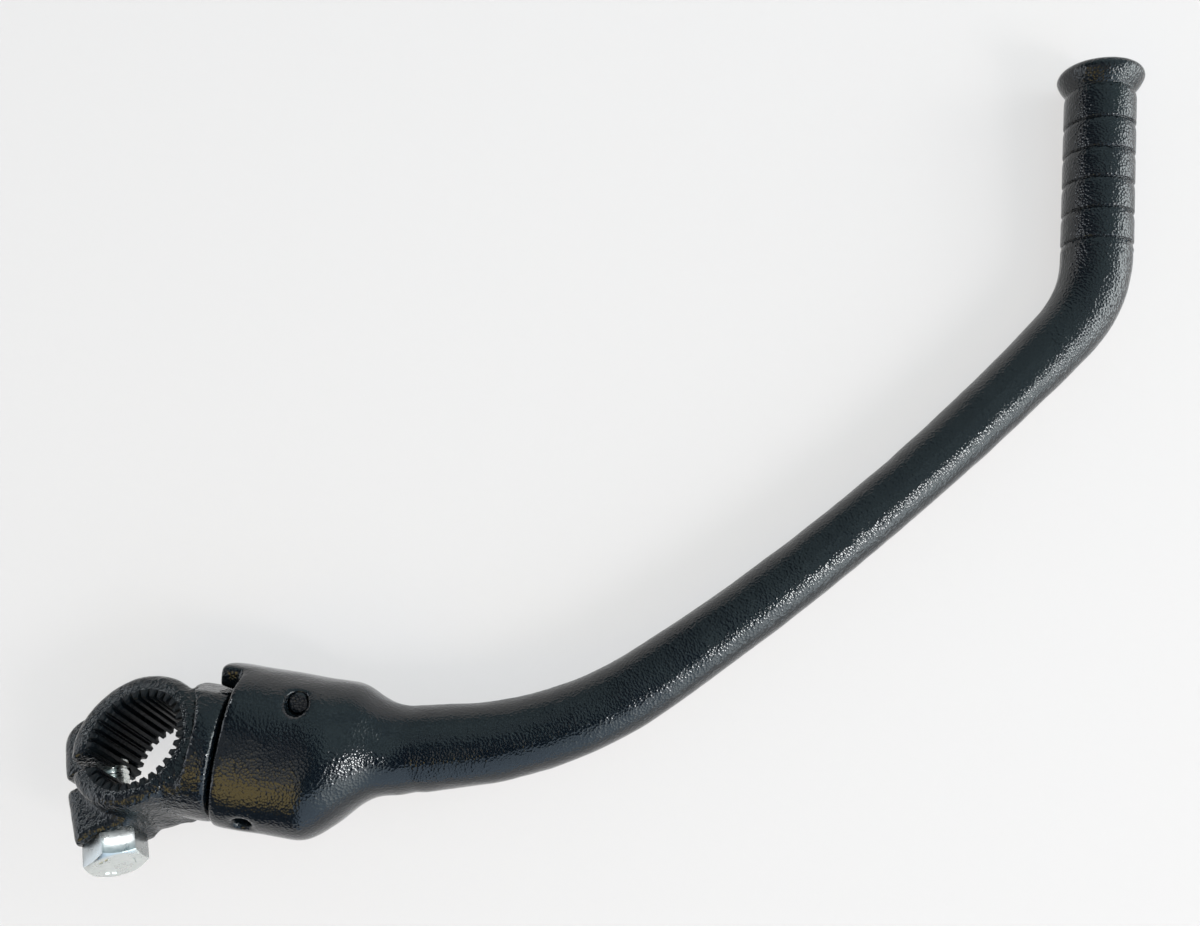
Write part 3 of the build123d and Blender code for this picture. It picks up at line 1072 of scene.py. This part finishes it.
def makeFlag():
    corners = [(x * mm, y * mm, flag["height"]) for x, y in flag["corners"]]
    cloth = addPiece("flag", flatMesh("flag", corners))
    dress(cloth, makeGlow("flag_cloth", flag["colour"])[0])
    mirrorOnly(cloth)


# a pale card beside the hub, mirrored in the ring's face
card = {"spot": (-320, 186, 125), "size": (100, 64), "colour": (6.5, 7.0, 7.2)}


def makeCard():
    wide, high = (side * mm for side in card["size"])
    spot = Vector(card["spot"]) * mm
    board = layPlane("card", wide, high, spot, -spot)
    dress(board, makeGlow("card_board", card["colour"])[0])
    mirrorOnly(board)


# an area lamp, told by its turn and rise from the spot that it looks at
def hangLamp(name, look, spot):
    turn, rise = math.radians(look["turn"]), math.radians(look["rise"])
    aim = Vector((math.cos(rise) * math.cos(turn), math.cos(rise) * math.sin(turn), math.sin(rise)))
    lamp = bpy.data.lights.new(name, "AREA")
    lamp.shape = "RECTANGLE"
    lamp.size, lamp.size_y = look["wide"], look["tall"]
    lamp.energy = look["radiance"] * math.pi * look["wide"] * look["tall"]
    holder = bpy.data.objects.new(name, lamp)
    holder.location = spot + aim * look["far"]
    holder.rotation_euler = (-aim).to_track_quat("-Z", "Y").to_euler()
    holder.visible_camera = False
    bpy.context.scene.collection.objects.link(holder)
    return holder


# the key draws the sparkling line along the arm
key = {"turn": -22, "rise": 43, "far": 1.2, "wide": 0.10, "tall": 0.36, "radiance": 36}

# a small lamp for the bolt alone whitens the flat that faces up
glint = {"turn": 82.5, "rise": 20.6, "far": 0.35, "wide": 0.045, "tall": 0.045, "radiance": 32}


def makeGlint():
    holder = hangLamp("glint", glint, places["bolt"].translation)
    onlyBolt = bpy.data.collections.new("bolt_light")
    onlyBolt.objects.link(pinchBolt)
    holder.light_linking.receiver_collection = onlyBolt
    holder.light_linking.blocker_collection = onlyBolt


# beyond the floor's edge everything is as pale as the floor
room = {"colour": (0.88, 0.88, 0.88)}


def makeRoom():
    world = bpy.data.worlds.new("room")
    bpy.context.scene.world = world
    world.use_nodes = True
    world.node_tree.nodes["Background"].inputs["Color"].default_value = (*room["colour"], 1)


makeRoom()
makeTent()
makeFlag()
makeCard()
hangLamp("key", key, centre)
makeGlint()
print("light set:", len(tent["panels"]), "panels")


# camera at the photograph's place
view = {
    "spot": (90.9, 59.7, 263.4),
    "right": (0.98664, 0.16224, 0.01510),
    "up": (-0.16294, 0.98239, 0.09142),
    "lens": 33.0,
    "sensor": 36.0,
    "clipStart": 0.01,
}


def makeCamera():
    data = bpy.data.cameras.new("camera")
    data.lens = view["lens"]
    data.sensor_width = view["sensor"]
    data.clip_start = view["clipStart"]
    right, up = Vector(view["right"]), Vector(view["up"])
    camera = bpy.data.objects.new("camera", data)
    camera.matrix_world = axesMatrix(right, up, right.cross(up), Vector(view["spot"]) * mm)
    bpy.context.scene.collection.objects.link(camera)
    bpy.context.scene.camera = camera


makeCamera()
bpy.context.scene.view_settings.view_transform = "Standard"
